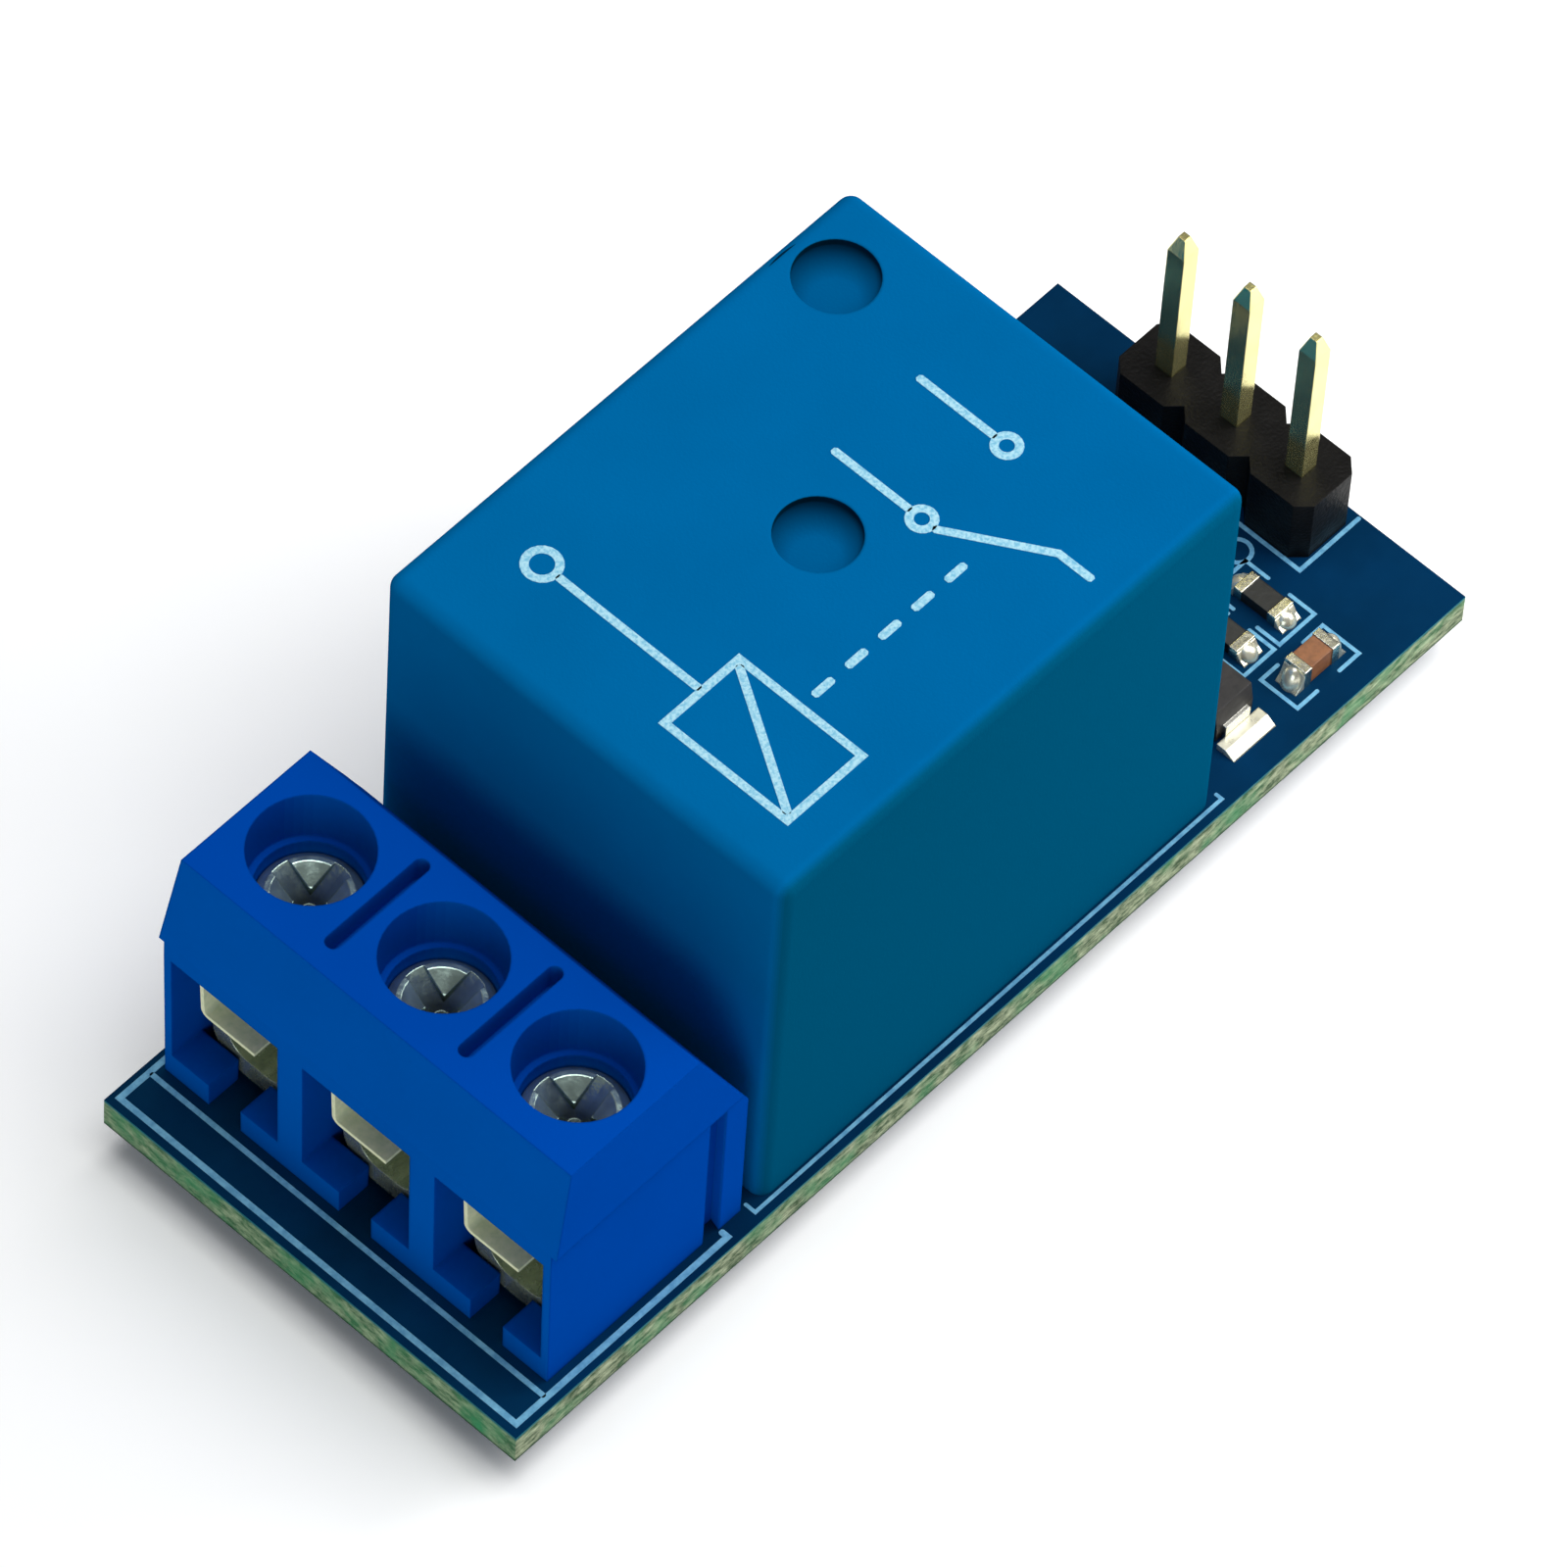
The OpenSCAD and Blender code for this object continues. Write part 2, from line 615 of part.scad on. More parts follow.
module relay_base() color("#15181b") on_board() difference() {
    inset = 2 * (case_wall + base_clear);
    translate([relay_x, 0, base_rise]) linear_extrude(base_t)
        square([relay_l - inset, relay_w - inset], center = true);
    translate([common_x, 0, 0]) common_slot();
    for (s = [-1, 1]) {
        translate([contact_lead_x, s * lead_half, 0]) flat_slot();
        translate([coil_lead_x, s * lead_half, 0]) round_slot();
    }
}

module relay_common_lead() color(tin)
    translate([common_x - flat_t / 2, -flat_w / 2, 0]) cube([flat_t, flat_w, board_top + base_top]);

module relay_coil_lead(side) color(tin) translate([coil_lead_x, side * lead_half, 0])
    cylinder(board_top + winding_z + coil_lead_up, coil_lead_r, coil_lead_r);

module relay_yoke() color(iron) on_board() difference() {
    foot_l = coil_back + core_r + tube_wall;
    union() {
        block(yoke_x - yoke_t, yoke_x, yoke_w, base_top, yoke_top);
        block(yoke_x - foot_l, yoke_x, yoke_w, base_top, base_top + yoke_t);
    }
    translate([coil_x, 0, 0]) cylinder(bobbin_z + eps, core_r, core_r);
}

module relay_core() color(iron) on_board() translate([coil_x, 0, 0]) {
    translate([0, 0, base_top]) cylinder(pole_z - base_top + eps, core_r, core_r);
    translate([0, 0, pole_z]) cylinder(pole_t, pole_r, pole_r);
}

module bobbin_flange() linear_extrude(flange_t) square([flange_l, flange_w], center = true);

module relay_bobbin() color("#d9d4c4") on_board() difference() {
    lug_w = lead_half + coil_lead_r + lug_wall;
    union() {
        translate([coil_x, 0, bobbin_z]) {
            bobbin_flange();
            cylinder(pole_z - bobbin_z, core_r + core_clear + tube_wall, core_r + core_clear + tube_wall);
        }
        translate([coil_x, 0, pole_z - flange_t]) bobbin_flange();
        block(coil_lead_x - lug_l / 2, coil_lead_x + lug_l / 2, 2 * lug_w, bobbin_z, winding_z);
    }
    translate([coil_x, 0, 0]) cylinder(pole_z + 1, core_r + core_clear, core_r + core_clear);
    for (s = [-1, 1]) translate([coil_lead_x, s * lead_half, 0]) round_slot();
}

module relay_coil() color(copper) on_board() translate([coil_x, 0, winding_z]) difference() {
    cylinder(winding_h, winding_r, winding_r);
    translate([0, 0, -1])
        cylinder(winding_h + 2, core_r + core_clear + tube_wall, core_r + core_clear + tube_wall);
}

// Turns what is drawn closed to its released angle about the yoke's top edge
module released() on_board() translate([yoke_x, 0, yoke_top]) rotate([0, open_deg, 0])
    translate([-yoke_x, 0, -yoke_top]) children();

module relay_armature() color(iron) released()
    block(yoke_x - armature_l, yoke_x, armature_w, yoke_top, leaf_z);

module relay_moving_contact() color(bronze) released() {
    tail_x = yoke_x + leaf_t;
    block(yoke_x - armature_l, tail_x + leaf_t, leaf_w, leaf_z, leaf_z + leaf_t);
    block(contact_x - rivet_r, yoke_x - armature_l + eps, leaf_tip_w, leaf_z, leaf_z + leaf_t);
    block(tail_x, tail_x + leaf_t, leaf_w, yoke_top - leaf_tail, leaf_z + eps);
    translate([contact_x, 0, moving_low]) cylinder(moving_high - moving_low, rivet_r, rivet_r);
    for (s = [-1, 1]) translate([yoke_x - armature_l / 2, s * leaf_w / 4, leaf_z])
        cylinder(leaf_t + rivet_h, rivet_r / 2, rivet_r / 2);
}

// Lead, riser and arm of a fixed contact; side is -1 or 1, arm_z the arm's underside
module fixed_contact(side, arm_z) color(bronze) {
    translate([contact_lead_x, side * lead_half, board_top + arm_z + arm_t]) {
        riser_top = board_top + arm_z + arm_t;
        translate([-flat_w / 2, -flat_t / 2, -riser_top]) cube([flat_w, flat_t, riser_top]);
        translate([-flat_w / 2, -flat_t / 2, -riser_top + board_top + base_top])
            cube([arm_w, flat_t, riser_top - board_top - base_top]);
    }
    reach = lead_half + rivet_r + arm_w / 4;
    translate([contact_lead_x - flat_w / 2, side > 0 ? lead_half - reach : -lead_half, board_top + arm_z])
        cube([arm_w, reach, arm_t]);
}

module fixed_rivet(z) color(tin) on_board() translate([contact_x, 0, z])
    cylinder(rivet_h, rivet_r, rivet_r);

module relay_open_contact() {
    fixed_contact(-1, no_rivet_z - rivet_h - arm_t);
    fixed_rivet(no_rivet_z - rivet_h);
}

module relay_closed_contact() {
    fixed_contact(1, nc_rivet_z + rivet_h);
    fixed_rivet(nc_rivet_z);
}

// ---------- header ----------

module header_cell() {
    a = header_w / 2;
    b = header_pitch / 2;
    c = header_chamfer;
    polygon([[-a, -b + c], [-a + c, -b], [a - c, -b], [a, -b + c],
        [a, b - c], [a - c, b], [-a + c, b], [-a, b - c]]);
}

module header_body() color("#17130f") on_board() difference() {
    for (i = [1 : pins]) translate([header_x, pin_y(i), 0]) linear_extrude(header_h) header_cell();
    for (i = [1 : pins]) translate([header_x, pin_y(i), 0])
        cube([pin_side, pin_side, big], center = true);
}

module header_pin(i) color(gold) translate([header_x, pin_y(i), 0]) {
    top = board_top + header_h + pin_up;
    intersection() {
        along_y(pin_side) needle_outline(pin_side, 0, top);
        translate([-pin_side / 2, 0, 0]) along_x(pin_side) needle_outline(pin_side, 0, top);
    }
}

// ---------- small parts ----------

// Chip part lying along X with plated ends a little proud of the body
module chip(l, h) {
    translate([-l / 2 + plating, -chip_w / 2 + plating, 0])
        cube([l - 2 * plating, chip_w - 2 * plating, h - plating]);
    for (s = [-1, 1]) translate([s * (l - chip_cap) / 2, 0, h / 2])
        cube([chip_cap, chip_w, h], center = true);
}

module resistor(x) color("#101214") on_board() translate([x, -chip_row_y, 0]) rotate(90)
    chip(chip_l, resistor_t);

module capacitor() color("#7a4a2c") on_board() translate([capacitor_x, -capacitor_y, 0])
    chip(capacitor_l, capacitor_t);

module diode_profile() {
    a = diode_l / 2;
    b = a - diode_draft;
    polygon([[-a, diode_seat], [a, diode_seat], [a, diode_h / 2], [b, diode_h], [-b, diode_h],
        [-a, diode_h / 2]]);
}

// Bent lead from the end of the diode's body down and out along the board
module diode_lead() {
    a = diode_l / 2;
    polygon([[a - diode_draft, 0], [a + diode_reach, 0], [a + diode_reach, diode_lead_t],
        [a + diode_lead_t, diode_lead_t], [a + diode_lead_t, diode_lead_h],
        [a - diode_draft, diode_lead_h]]);
}

module diode() color("#1c1a19") on_board() translate([diode_x, -diode_y, 0]) rotate(90) {
    along_y(diode_w) diode_profile();
    for (s = [0, 180]) rotate(s) along_y(diode_lead_w) diode_lead();
}

module sot_lead(side, y) translate([side * (sot_w / 2), y, 0]) {
    translate([side * sot_reach / 2, 0, sot_lead_t / 2])
        cube([sot_reach, sot_lead_w, sot_lead_t], center = true);
    translate([0, 0, sot_h / 4]) cube([sot_lead_t, sot_lead_w, sot_h / 2], center = true);
}

module transistor() color("#1a1b1d") on_board() translate([sot_x, sot_y, 0]) {
    translate([0, 0, sot_lead_t / 2 + sot_h / 2])
        cube([sot_w, sot_l, sot_h - sot_lead_t], center = true);
    sot_lead(1, 0);
    for (s = [-1, 1]) sot_lead(-1, s * sot_pitch / 2);
}

// ---------- solder ----------

// Solder cone hanging from the board's underside round a lead
module solder_cone(lead_r) translate([0, 0, tail_h - solder_h]) {
    neck = lead_r + (solder_r - lead_r) * 0.25;
    translate([0, 0, solder_h * 0.6]) cylinder(solder_h * 0.4, neck, solder_r);
    cylinder(solder_h * 0.6, lead_r, neck);
}

module lead_solder() color(solder_grey) difference() {
    lead_places() {
        solder_cone(half_diagonal(leg_t, leg_pin_w));
        solder_cone(half_diagonal(flat_w, flat_t));
        solder_cone(half_diagonal(flat_w, flat_t));
        solder_cone(coil_lead_r + plating);
        solder_cone(half_diagonal(pin_side, pin_side));
    }
    lead_places() {
        cube([leg_t, leg_pin_w, 2 * tail_h], center = true);
        cube([flat_t, flat_w, 2 * tail_h], center = true);
        cube([flat_w, flat_t, 2 * tail_h], center = true);
        cylinder(2 * tail_h, coil_lead_r, coil_lead_r);
        cube([pin_side, pin_side, 2 * tail_h], center = true);
    }
}

// Solder fillet rising against a face at X = 0 on its low side
module fillet(w, h) along_y(w)
    polygon([[0, 0], [fillet_l, 0], [fillet_l * 0.45, h * 0.35], [0, h]]);

module chip_fillets(l, h) for (s = [0, 180]) rotate(s) translate([l / 2, 0, 0]) fillet(chip_w, h * 0.8);

// Solder round the foot of the diode's lead, from the foot's end outwards
module diode_solder() difference() {
    start = diode_l / 2 + diode_lead_t;
    finish = diode_l / 2 + diode_reach + diode_pad_l;
    along_y(diode_pad_w) polygon([[start, 0], [finish, 0], [finish - diode_pad_l, diode_lead_t * 1.6],
        [start, diode_lead_t * 1.6]]);
    block(0, start + diode_reach - diode_lead_t, diode_lead_w, -1, diode_lead_t);
}

module chip_solder() color(solder_grey) on_board() {
    for (x = [resistor_1_x, resistor_2_x]) translate([x, -chip_row_y, 0]) rotate(90)
        chip_fillets(chip_l, resistor_t);
    translate([capacitor_x, -capacitor_y, 0]) chip_fillets(capacitor_l, capacitor_t);
    translate([diode_x, -diode_y, 0]) rotate(90) for (s = [0, 180]) rotate(s) diode_solder();
    translate([sot_x, sot_y, 0]) {
        translate([sot_w / 2 + sot_reach, 0, 0]) fillet(sot_lead_w, sot_lead_t);
        for (s = [-1, 1]) translate([0, s * sot_pitch / 2, 0]) rotate(180)
            translate([sot_w / 2 + sot_reach, 0, 0]) fillet(sot_lead_w, sot_lead_t);
    }
}

circuit_board();
terminal_housing();
terminal_contact(1);  // terminal_contact_1
terminal_contact(2);  // terminal_contact_2
terminal_contact(3);  // terminal_contact_3
terminal_cage(1);  // terminal_cage_1
terminal_cage(2);  // terminal_cage_2
terminal_cage(3);  // terminal_cage_3
terminal_screw(1);  // terminal_screw_1
terminal_screw(2);  // terminal_screw_2
terminal_screw(3);  // terminal_screw_3
relay_case();
relay_base();
relay_bobbin();
relay_coil();
relay_core();
relay_yoke();
relay_armature();
relay_moving_contact();
relay_open_contact();
relay_closed_contact();
relay_common_lead();
relay_coil_lead(-1);  // relay_coil_lead_1
relay_coil_lead(1);  // relay_coil_lead_2
header_body();
header_pin(1);  // header_pin_1
header_pin(2);  // header_pin_2
header_pin(3);  // header_pin_3
resistor(resistor_1_x);  // resistor_1
resistor(resistor_2_x);  // resistor_2
capacitor();
diode();
transistor();
lead_solder();
chip_solder();
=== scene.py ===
import math

import bmesh
import bpy
from mathutils import Matrix, Vector


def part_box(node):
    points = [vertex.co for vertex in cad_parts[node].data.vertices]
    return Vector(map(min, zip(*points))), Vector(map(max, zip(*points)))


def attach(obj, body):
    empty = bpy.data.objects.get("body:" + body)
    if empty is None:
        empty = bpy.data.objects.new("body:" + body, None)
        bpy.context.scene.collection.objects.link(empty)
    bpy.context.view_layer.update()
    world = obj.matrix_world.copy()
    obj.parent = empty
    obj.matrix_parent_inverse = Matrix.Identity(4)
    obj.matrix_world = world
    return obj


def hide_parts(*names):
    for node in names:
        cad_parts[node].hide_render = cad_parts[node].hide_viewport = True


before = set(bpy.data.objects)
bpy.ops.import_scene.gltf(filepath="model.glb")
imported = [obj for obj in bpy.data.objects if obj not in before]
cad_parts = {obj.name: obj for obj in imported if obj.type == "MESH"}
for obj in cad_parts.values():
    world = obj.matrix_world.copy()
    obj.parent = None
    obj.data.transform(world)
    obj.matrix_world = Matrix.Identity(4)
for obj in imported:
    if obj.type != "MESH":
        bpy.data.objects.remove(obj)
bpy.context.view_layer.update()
scene = bpy.context.scene
MM = 0.001
# Axis numbers
X = 0
Y = 1
Z = 2


# ---------- node materials ----------

# Edge radii for the bevel node
MOULDED_EDGE = 0.12 * MM
CRISP_EDGE = 0.05 * MM
CHIP_EDGE = 0.06 * MM
BOARD_EDGE = 0.04 * MM
SHEET_EDGE = 0.02 * MM

# Noise scales, in cells per metre
CLOUD = 220
SHEEN = 1500
GRAIN = 9000
PLATING = 2500
DRAWING = 6000


def linear(colour):
    """sRGB 0-255 to linear, with alpha."""
    out = []
    for c in colour:
        c = c / 255
        out.append(c / 12.92 if c <= 0.04045 else ((c + 0.055) / 1.055) ** 2.4)
    return (*out, 1.0)


def shade(colour, k):
    """A linear colour, brighter or darker by the factor k."""
    return tuple(min(1.0, c * k) for c in colour[:3]) + (1.0,)


def grey(value):
    """A linear grey, with alpha."""
    return (value, value, value, 1.0)


class Nodes:
    """Small helper for building a material's node tree."""

    def __init__(self, name):
        self.mat = bpy.data.materials.new(name)
        self.mat.use_nodes = True
        self.tree = self.mat.node_tree
        self.tree.nodes.clear()
        self.out = self.add("ShaderNodeOutputMaterial")
        self.coords = self.add("ShaderNodeTexCoord").outputs["Object"]

    def add(self, kind, **props):
        node = self.tree.nodes.new(kind)
        for key, value in props.items():
            setattr(node, key, value)
        return node

    def link(self, source, target):
        self.tree.links.new(source, target)

    def put(self, socket, value):
        """Link a socket's value, or set a plain one."""
        if isinstance(value, bpy.types.NodeSocket):
            self.link(value, socket)
        else:
            socket.default_value = value

    def noise(self, scale, detail=3.0, rough=0.55, stretch=None):
        node = self.add("ShaderNodeTexNoise")
        source = self.coords
        if stretch:
            mapping = self.add("ShaderNodeMapping")
            self.link(source, mapping.inputs["Vector"])
            mapping.inputs["Scale"].default_value = stretch
            source = mapping.outputs[0]
        self.link(source, node.inputs["Vector"])
        node.inputs["Scale"].default_value = scale
        node.inputs["Detail"].default_value = detail
        node.inputs["Roughness"].default_value = rough
        return node.outputs["Fac"]

    def ramp(self, value, lo, hi, a=0.0, b=1.0):
        """Map lo..hi to a..b, clamped."""
        node = self.add("ShaderNodeMapRange")
        node.clamp = True
        self.put(node.inputs["Value"], value)
        node.inputs["From Min"].default_value = lo
        node.inputs["From Max"].default_value = hi
        node.inputs["To Min"].default_value = a
        node.inputs["To Max"].default_value = b
        return node.outputs[0]

    def patches(self, scale, detail, a=0.0, b=1.0):
        """Soft patches of noise that run from a to b."""
        return self.ramp(self.noise(scale, detail), 0.3, 0.7, a, b)

    def spots(self, scale):
        """Noise patches with harder edges."""
        return self.ramp(self.noise(scale, 3), 0.35, 0.65)

    def mix(self, fac, a, b):
        """Mix two colours. The node has other sockets before them, for plain numbers and vectors."""
        node = self.add("ShaderNodeMix", data_type="RGBA")
        self.put(node.inputs[0], fac)
        self.put(node.inputs[6], a)
        self.put(node.inputs[7], b)
        return node.outputs[2]

    def mottle(self, base, dark, light, scale):
        """The base colour in patches between two factors of its brightness."""
        return self.mix(self.patches(scale, 4), shade(base, dark), shade(base, light))

    def math(self, op, a, b=0.0):
        node = self.add("ShaderNodeMath", operation=op)
        self.put(node.inputs[0], a)
        self.put(node.inputs[1], b)
        return node.outputs[0]

    def axis(self, vector, index):
        node = self.add("ShaderNodeSeparateXYZ")
        self.link(vector, node.inputs[0])
        return node.outputs[index]

    def facing(self, index):
        """How far the surface faces along an axis, from -1 to 1."""
        return self.axis(self.add("ShaderNodeNewGeometry").outputs["True Normal"], index)

    def distance(self, point):
        node = self.add("ShaderNodeVectorMath", operation="DISTANCE")
        self.link(self.coords, node.inputs[0])
        node.inputs[1].default_value = point
        return node.outputs["Value"]

    def surface(self, colour, rough, metal=0.0, spec=0.5, bump=None, bevel=0.0, tint=None):
        """Finish the tree. The bump is a height with its depth in metres."""
        shader = self.add("ShaderNodeBsdfPrincipled")
        self.put(shader.inputs["Base Color"], colour)
        self.put(shader.inputs["Roughness"], rough)
        self.put(shader.inputs["Metallic"], metal)
        shader.inputs["Specular IOR Level"].default_value = spec
        if tint:
            shader.inputs["Specular Tint"].default_value = (*tint, 1.0)
        normal = None
        if bevel:
            rounded = self.add("ShaderNodeBevel", samples=6)
            rounded.inputs["Radius"].default_value = bevel
            normal = rounded.outputs[0]
        if bump:
            height, depth = bump
            relief = self.add("ShaderNodeBump")
            relief.inputs["Distance"].default_value = depth
            relief.inputs["Strength"].default_value = 1.0
            self.link(height, relief.inputs["Height"])
            if normal:
                self.link(normal, relief.inputs["Normal"])
            normal = relief.outputs[0]
        if normal:
            self.link(normal, shader.inputs["Normal"])
        self.link(shader.outputs[0], self.out.inputs[0])
        return self.mat


def plastic(name, colour, rough=0.45, vary=0.06, grain=0.006 * MM, spec=0.45,
            bevel=MOULDED_EDGE, cloud=CLOUD):
    """Moulded plastic: faint clouding, fine spark-eroded grain and soft edges."""
    n = Nodes(name)
    tone = n.mottle(linear(colour), 1 - vary, 1 + vary, cloud)
    roughness = n.patches(SHEEN, 3, rough - 0.05, rough + 0.07)
    return n.surface(tone, roughness, spec=spec, bump=(n.noise(GRAIN, 2), grain), bevel=bevel)


def metal(name, colour, rough=0.28, vary=0.12, grain=0.005 * MM, bevel=CRISP_EDGE,
          stretch=(1, 1, 1), cloud=900, share=1.0):
    """Plated or rolled metal with uneven brightness and fine drawing marks.

    A dull skin has a lower one. The contact tongues have none: their colour is tin's own, raised
    near white as a painted reflection.
    """
    n = Nodes(name)
    tone = n.mottle(linear(colour), 1 - vary, 1 + vary * 0.6, cloud)
    roughness = n.patches(PLATING, 3, rough * 0.75, rough * 1.3)
    drawn = n.noise(DRAWING, 3, 0.6, stretch)
    return n.surface(tone, roughness, metal=share, bump=(drawn, grain), bevel=bevel)


def head_material(name, colour, top):
    """Screw zinc with coarse sparkle, and painted shade that darkens into the crossed recess below
    top.
    """
    n = Nodes(name)
    base = linear(colour)
    recess_floor = top - 0.75 * MM
    recess_mouth = top - 0.12 * MM
    height = n.ramp(n.axis(n.coords, Z), recess_floor, recess_mouth)
    # Painted shade: the colour darkens to about a sixth of its brightness from the recess mouth down
    # to its floor.
    tone = n.mix(height, shade(base, 0.16), n.mottle(base, 0.7, 1.2, 1500))
    roughness = n.patches(PLATING, 3, 0.13, 0.26)
    sparkle = (n.noise(1700, 3, 0.6), 0.02 * MM)
    return n.surface(tone, roughness, metal=0.84, bump=sparkle, bevel=CRISP_EDGE)


def case_material(name, colour, shaded_flank, top, dimples, dimple_r):
    """Moulded case: painted shade on its -Y side, and painted shade drawn into its gate dimples.

    A dimple darkens with the distance from a point between its middle and its -X -Y edge.
    """
    n = Nodes(name)
    base = linear(colour)
    tone = n.mottle(base, 0.96, 1.04, CLOUD)
    # Painted shade: the faces that look along -Y take a darker colour of their own.
    tone = n.mix(n.ramp(n.facing(Y), -0.3, -0.8), tone, linear(shaded_flank))
    height = n.axis(n.coords, Z)
    below_top = n.math("LESS_THAN", height, top - 0.02 * MM)
    near_top = n.math("GREATER_THAN", height, top - 1.0 * MM)
    inside = n.math("MULTIPLY", below_top, near_top)
    # Painted shade in each gate dimple, darker further from a point between its middle and its -X -Y
    # edge.
    for x, y in dimples:
        reach = n.distance((x - 0.4 * dimple_r, y - 0.32 * dimple_r, top))
        near = n.math("LESS_THAN", reach, 1.6 * dimple_r)
        dark = n.ramp(reach, 0.6 * dimple_r, 1.42 * dimple_r, 0.2, 0.88)
        fac = n.math("MULTIPLY", n.math("MULTIPLY", inside, near), dark)
        tone = n.mix(fac, tone, shade(base, 0.04))
    roughness = n.patches(SHEEN, 3, 0.34, 0.46)
    grain = (n.noise(GRAIN, 2), 0.008 * MM)
    return n.surface(tone, roughness, spec=0.0, bump=grain, bevel=MOULDED_EDGE)


def housing_material(name, colour, front):
    """Moulded housing with painted light: a lighter colour on the faces that look along -X."""
    n = Nodes(name)
    # Painted light: the faces that look along -X take the lighter front colour.
    tone = n.mix(n.ramp(n.facing(X), -0.35, -0.8), linear(colour), linear(front))
    tone = n.mix(n.patches(CLOUD, 4, 0.0, 0.08), tone, shade(linear(colour), 0.3))
    roughness = n.patches(SHEEN, 3, 0.33, 0.45)
    grain = (n.noise(GRAIN, 2), 0.006 * MM)
    return n.surface(tone, roughness, spec=0.0, bump=grain, bevel=MOULDED_EDGE)


def board_material(bottom, top):
    """Solder mask on the faces, and glass-fibre laminate on the cut edges between them."""
    n = Nodes("board_mask_and_edge")
    is_face = n.math("GREATER_THAN", n.math("ABSOLUTE", n.facing(Z)), 0.5)
    mask = n.mix(n.patches(260, 4), linear((2, 36, 66)), linear((3, 47, 84)))

    weave = n.ramp(n.noise(1500, 5, 0.7, (1, 1, 2.6)), 0.4, 0.66)
    edge = n.mix(weave, linear((66, 88, 58)), linear((196, 204, 168)))
    green_patches = n.ramp(n.noise(700, 3, 0.6), 0.45, 0.72, 0.0, 0.7)
    front = n.ramp(n.facing(X), -0.3, -0.7)
    green = n.math("ADD", green_patches, n.ramp(front, 0, 1, 0.0, 0.3))
    edge = n.mix(green, edge, linear((64, 146, 96)))
    height = n.axis(n.coords, Z)
    edge = n.mix(n.ramp(height, top - 0.16 * MM, top - 0.04 * MM), edge, linear((20, 108, 122)))
    edge = n.mix(n.ramp(height, bottom + 0.12 * MM, bottom + 0.03 * MM), edge, linear((40, 70, 48)))

    colour = n.mix(is_face, edge, mask)
    rough = n.math("ADD", n.patches(1800, 3, 0.0, 0.08), n.ramp(is_face, 0, 1, 0.62, 0.3))
    return n.surface(colour, rough, spec=0.1, bump=(n.noise(2600, 3), 0.012 * MM),
                     bevel=BOARD_EDGE, tint=(0.05, 0.6, 0.8))


def chip_material(name, body, length, along, centre, cap_length=0.3 * MM):
    """Chip part: its body colour in the middle and plated metal at both ends."""
    n = Nodes(name)
    plating = linear((232, 229, 208))
    place = n.math("ABSOLUTE", n.math("SUBTRACT", n.axis(n.coords, along), centre))
    is_end = n.math("GREATER_THAN", place, length / 2 - cap_length)
    middle = n.mix(n.spots(5000), shade(linear(body), 0.8), shade(linear(body), 1.15))
    ends = n.mix(n.spots(3000), shade(plating, 0.9), plating)
    rough = n.math("ADD", n.ramp(is_end, 0, 1, 0.42, 0.2), n.patches(4000, 2, 0.0, 0.08))
    return n.surface(n.mix(is_end, middle, ends), rough, metal=is_end,
                     bump=(n.noise(5000, 3), 0.01 * MM), bevel=CHIP_EDGE)


def leaded_material(name, box, along, lead_length):
    """Dark moulded body between the metal leads at both ends of its box."""
    n = Nodes(name)
    place = n.axis(n.coords, along)
    low_lead = n.math("LESS_THAN", place, box[0][along] + lead_length)
    high_lead = n.math("GREATER_THAN", place, box[1][along] - lead_length)
    is_lead = n.math("MAXIMUM", low_lead, high_lead)
    body = n.mix(n.spots(3000), linear((24, 22, 21)), linear((40, 36, 34)))
    colour = n.mix(is_lead, body, linear((205, 204, 194)))
    rough = n.math("ADD", n.ramp(is_lead, 0, 1, 0.5, 0.22), n.patches(4000, 2, 0.0, 0.1))
    return n.surface(colour, rough, metal=is_lead, bump=(n.noise(6000, 3), 0.008 * MM),
                     bevel=CRISP_EDGE)


def ink_material(name, dark, light, patch, full_at, rough, grain):
    """Printed ink with patches. The grain is a noise's scale and detail."""
    n = Nodes(name)
    tone = n.mix(n.ramp(n.noise(patch, 3), 0.35, full_at), linear(dark), linear(light))
    return n.surface(tone, rough, spec=0.3, bump=(n.noise(*grain), 0.006 * MM))


def middle_of(box, axis):
    return (box[0][axis] + box[1][axis]) / 2


board_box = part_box("circuit_board")
case_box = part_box("relay_case")
resistor_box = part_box("resistor_1")
capacitor_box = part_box("capacitor")
case_high = case_box[1]

DIMPLE_R = 1.3 * MM
DIMPLES = [
    (middle_of(case_box, X), middle_of(case_box, Y)),
    (case_high.x - 2.65 * MM, case_high.y - 1.9 * MM),
]
RESISTOR_LENGTH = 1.6 * MM
CAPACITOR_LENGTH = 1.5 * MM

# Its front colour is painted light on the faces that look along -X.
BLUE_HOUSING = housing_material("terminal_blue", (0, 72, 172), front=(0, 92, 190))
# The second colour is painted shade for the faces that look along -Y.
BLUE_CASE = case_material("relay_blue", (0, 100, 160), (0, 83, 118), case_high.z, DIMPLES,
                          DIMPLE_R)
BLACK = plastic("base_black", (20, 22, 24), rough=0.55, spec=0.15)
HEADER = plastic("header_black", (18, 17, 16), rough=0.4, vary=0.3, spec=0.1,
                 bevel=CRISP_EDGE, cloud=1600, grain=0.02 * MM)
CREAM = plastic("bobbin_cream", (222, 214, 192), rough=0.5)
TIN = metal("tinned_metal", (222, 219, 200), rough=0.34, share=0.7)
